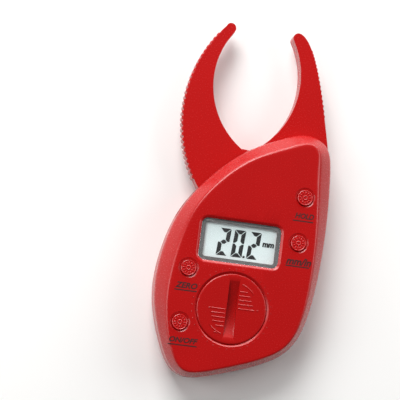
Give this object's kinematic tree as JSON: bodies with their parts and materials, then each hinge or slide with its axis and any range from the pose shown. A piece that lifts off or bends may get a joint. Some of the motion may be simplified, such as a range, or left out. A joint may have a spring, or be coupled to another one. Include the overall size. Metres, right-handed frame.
{
  "type": "digital skinfold caliper",
  "caption": "Hand-held digital skinfold caliper with one fixed and one pivoting jaw, a display window, push keys and a coin-slot battery cover.",
  "frame": {"origin": "where the moving jaw's pivot axis meets the plane of the flat back face", "axes": "+Z out of the front face along the pivot axis, +Y towards the jaw tips, +X towards the fixed jaw's side"},
  "size_m": [0.056, 0.1221, 0.0185],
  "materials": {
    "red_shell": "satin-gloss moulded ABS",
    "red_jaw": "satin-gloss moulded ABS",
    "red_key": "moulded ABS",
    "spring_steel": "rolled spring steel",
    "screw_steel": "zinc-plated steel",
    "board_green": "glass-epoxy laminate",
    "board_copper": "gold-flashed copper",
    "black_epoxy": "cast epoxy",
    "crystal_can": "drawn can",
    "white_frame": "moulded ABS",
    "lcd_glass": "polished glass",
    "lcd_backing": "reflective film",
    "zebra_rubber": "layered silicone",
    "grey_print": "printed ink",
    "clear_window": "polished acrylic",
    "switch_black": "moulded nylon",
    "cell_steel": "nickel-plated steel",
    "contact_brass": "stamped phosphor bronze"
  },
  "bodies": {
    "housing": {"rear_housing": "red_shell", "front_housing": "red_shell", "fixed_jaw": "red_jaw", "wave_washer": "spring_steel", "pivot_washer": "spring_steel", "pivot_screw": "screw_steel", "circuit_board": "board_green", "stator_pads": "board_copper", "controller_chip": "black_epoxy", "timing_crystal": "crystal_can", "board_components": "black_epoxy", "lcd_frame": "white_frame", "lcd_panel": "lcd_glass", "lcd_reflector": "lcd_backing", "zebra_strips": "zebra_rubber", "window_mask": "grey_print", "display_window": "clear_window", "key_switches": "switch_black", "coin_cell": "cell_steel", "battery_contact_positive": "contact_brass", "battery_contact_negative": "contact_brass", "housing_screws": "screw_steel", "jaw_screws": "screw_steel", "board_screws": "screw_steel"},
    "moving_jaw": {"moving_jaw": "red_jaw", "rotor_plate": "board_copper"},
    "hold_button": {"hold_button": "red_key"},
    "unit_button": {"unit_button": "red_key"},
    "zero_button": {"zero_button": "red_key"},
    "power_button": {"power_button": "red_key"},
    "battery_cover": {"battery_cover": "red_shell"}
  },
  "joints": [
    {"name": "jaw_pivot", "type": "hinge", "parent": "housing", "child": "moving_jaw", "pos_m": [0, 0, 0.007], "axis": [0, 0, 1], "range_deg": [-21.1, 33.1]},
    {"name": "hold_press", "type": "slide", "parent": "housing", "child": "hold_button", "axis": [0, 0, -1], "range_m": [0, 0.0004], "stiffness_N_per_m": 1500},
    {"name": "unit_press", "type": "slide", "parent": "housing", "child": "unit_button", "axis": [0, 0, -1], "range_m": [0, 0.0004], "stiffness_N_per_m": 1500},
    {"name": "zero_press", "type": "slide", "parent": "housing", "child": "zero_button", "axis": [0, 0, -1], "range_m": [0, 0.0004], "stiffness_N_per_m": 1500},
    {"name": "power_press", "type": "slide", "parent": "housing", "child": "power_button", "axis": [0, 0, -1], "range_m": [0, 0.0004], "stiffness_N_per_m": 1500},
    {"name": "battery_cover_turn", "type": "hinge", "parent": "housing", "child": "battery_cover", "pos_m": [0.0012, -0.0421, 0.0165], "axis": [0, 0, 1], "range_deg": [0, 60]}
  ]
}
